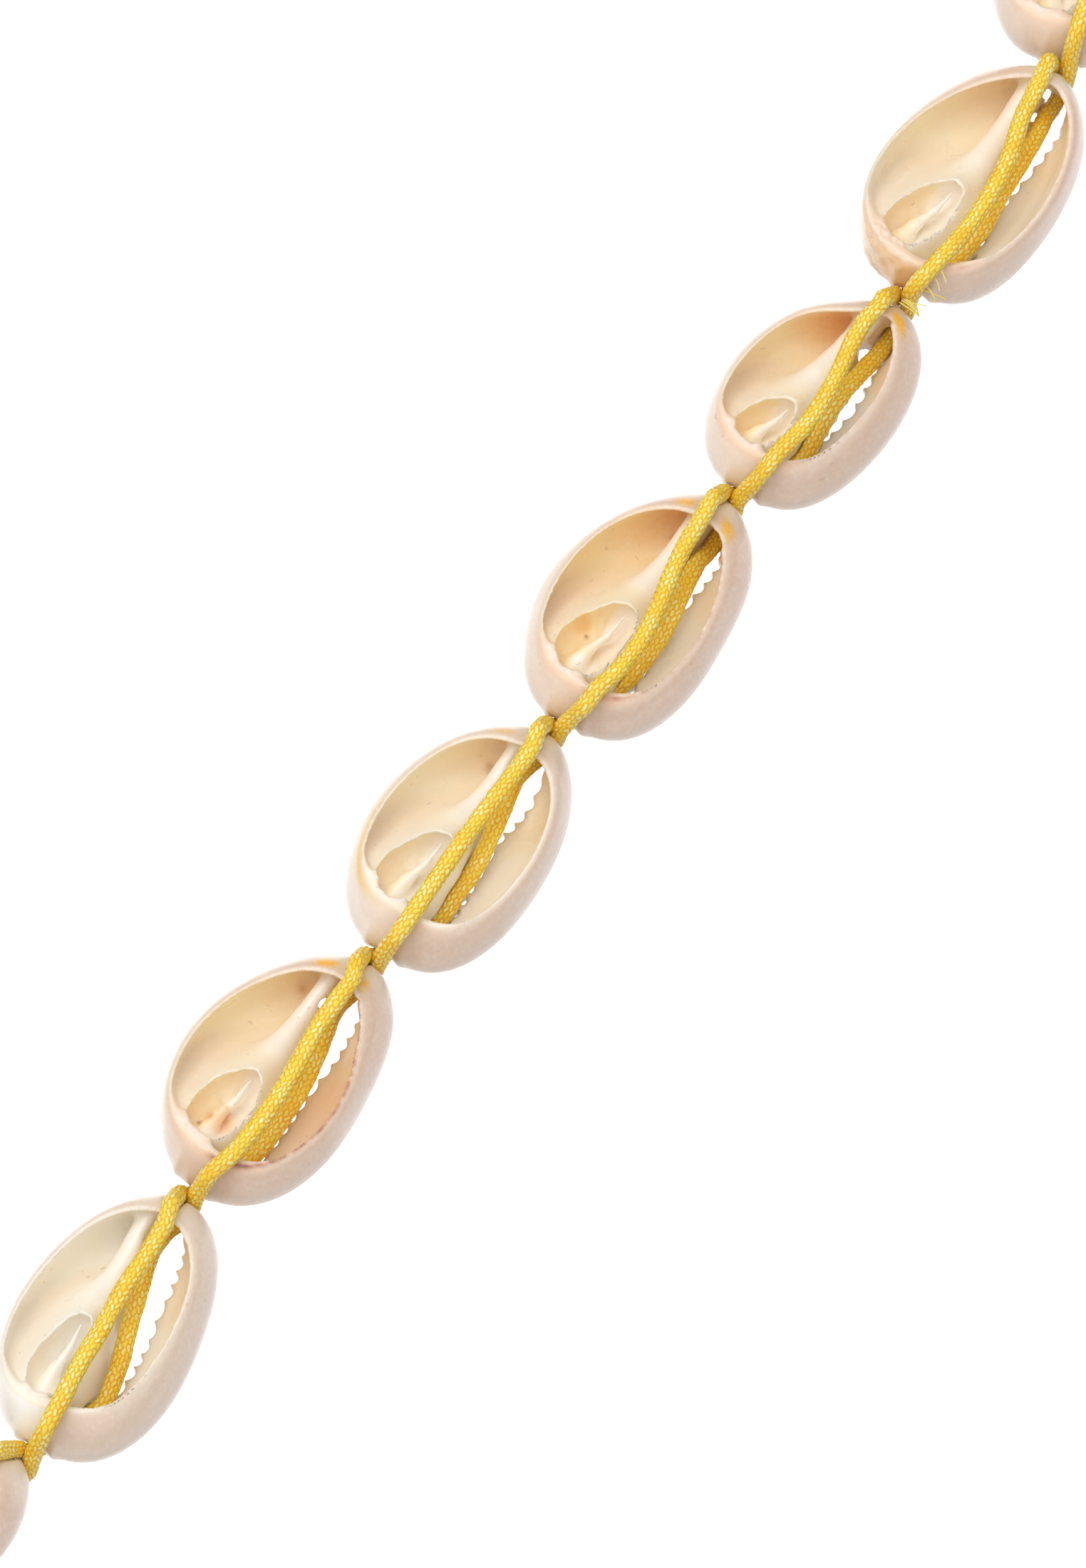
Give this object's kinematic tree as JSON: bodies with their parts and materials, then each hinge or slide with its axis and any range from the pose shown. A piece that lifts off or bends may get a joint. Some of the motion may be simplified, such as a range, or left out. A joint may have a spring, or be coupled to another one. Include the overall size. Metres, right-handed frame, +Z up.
{
  "type": "cowrie shell necklace",
  "caption": "Necklace of cowrie shells ground open on their backs and laced end to end on two strands of yellow braided cord, lying flat as a closed loop.",
  "frame": {"origin": "middle of the loop's bounding box, on the surface that the necklace lies on", "axes": "+X along the front stretch, +Y from the front stretch towards the knot at the back of the neck, +Z up out of the surface"},
  "size_m": [0.2106, 0.0904, 0.0068],
  "materials": {
    "shell": "satin, tumbled smooth, cream and pale pink",
    "cord": "bright yellow braided nylon, silky"
  },
  "bodies": {
    "root": {"shell_01": "shell", "shell_02": "shell", "shell_03": "shell", "shell_04": "shell", "shell_05": "shell", "shell_06": "shell", "shell_07": "shell", "shell_08": "shell", "shell_09": "shell", "shell_10": "shell", "shell_11": "shell", "shell_12": "shell", "shell_13": "shell", "shell_14": "shell", "shell_15": "shell", "shell_16": "shell", "shell_17": "shell", "shell_18": "shell", "cord_a": "cord", "cord_b": "cord", "closure_knot": "cord"}
  },
  "joints": []
}
